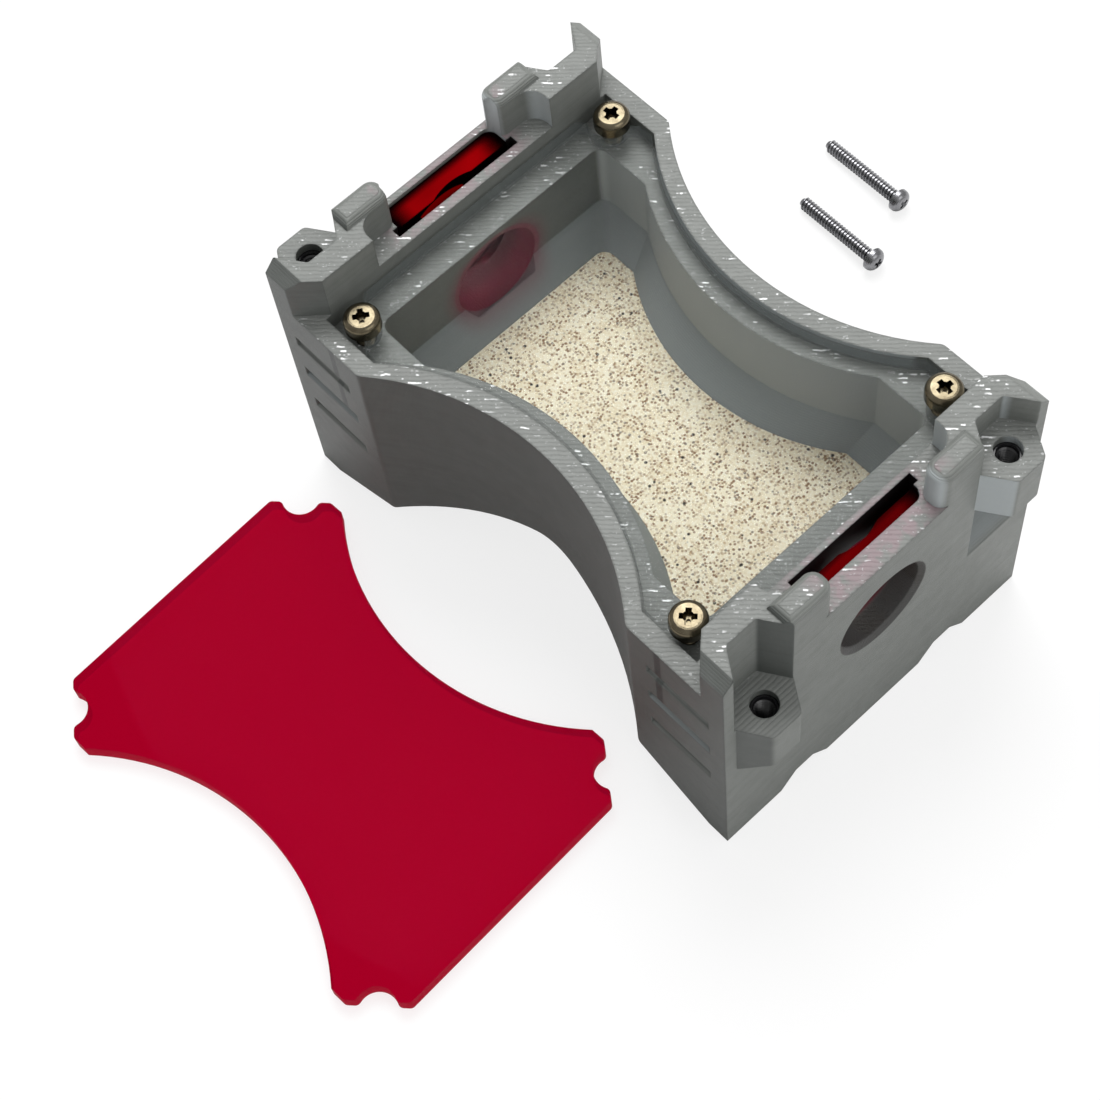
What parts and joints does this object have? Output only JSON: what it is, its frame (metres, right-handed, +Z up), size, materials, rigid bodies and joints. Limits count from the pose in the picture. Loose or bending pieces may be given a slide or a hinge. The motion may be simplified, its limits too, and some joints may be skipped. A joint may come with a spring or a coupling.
{
  "type": "ant habitat",
  "caption": "Waisted bridge-shaped ant habitat with a printed body, screwed clear cover, sand floor, end tunnels with red windows, joining lugs, and a spare red cover lying beside it.",
  "frame": {"origin": "middle of the body's footprint, on the plane that it stands on", "axes": "+X along the body through both entrances, +Y across it, +Z up"},
  "size_m": [0.0658, 0.1047, 0.037],
  "materials": {
    "grey_print": "layered print with fine raster lines",
    "clear_acrylic": "clear, laser cut edge",
    "red_acrylic": "deep transparent red",
    "sand_plate": "fine sand, speckled",
    "screw_nickel": "nickel plated",
    "screw_steel": "plain steel",
    "black_sleeve": "gloss black"
  },
  "bodies": {
    "habitat": {"printed_body": "grey_print", "red_cover": "red_acrylic", "floor_plate": "sand_plate", "left_red_window": "red_acrylic", "right_red_window": "red_acrylic", "right_upper_sleeve": "black_sleeve", "left_upper_sleeve": "black_sleeve", "right_lower_sleeve": "black_sleeve", "left_lower_sleeve": "black_sleeve", "joining_screw_1": "screw_steel", "joining_screw_2": "screw_steel"},
    "cover": {"clear_cover": "clear_acrylic"},
    "screw_left_front": {"cover_screw_left_front": "screw_nickel"},
    "screw_left_back": {"cover_screw_left_back": "screw_nickel"},
    "screw_right_front": {"cover_screw_right_front": "screw_nickel"},
    "screw_right_back": {"cover_screw_right_back": "screw_nickel"}
  },
  "joints": [
    {"name": "cover_lift", "type": "slide", "parent": "habitat", "child": "cover", "axis": [0, 0, 1], "range_m": [0, 0.02]},
    {"name": "screw_left_front_lift", "type": "slide", "parent": "cover", "child": "screw_left_front", "axis": [0, 0, 1], "range_m": [0, 0.01]},
    {"name": "screw_left_back_lift", "type": "slide", "parent": "cover", "child": "screw_left_back", "axis": [0, 0, 1], "range_m": [0, 0.01]},
    {"name": "screw_right_front_lift", "type": "slide", "parent": "cover", "child": "screw_right_front", "axis": [0, 0, 1], "range_m": [0, 0.01]},
    {"name": "screw_right_back_lift", "type": "slide", "parent": "cover", "child": "screw_right_back", "axis": [0, 0, 1], "range_m": [0, 0.01]}
  ]
}
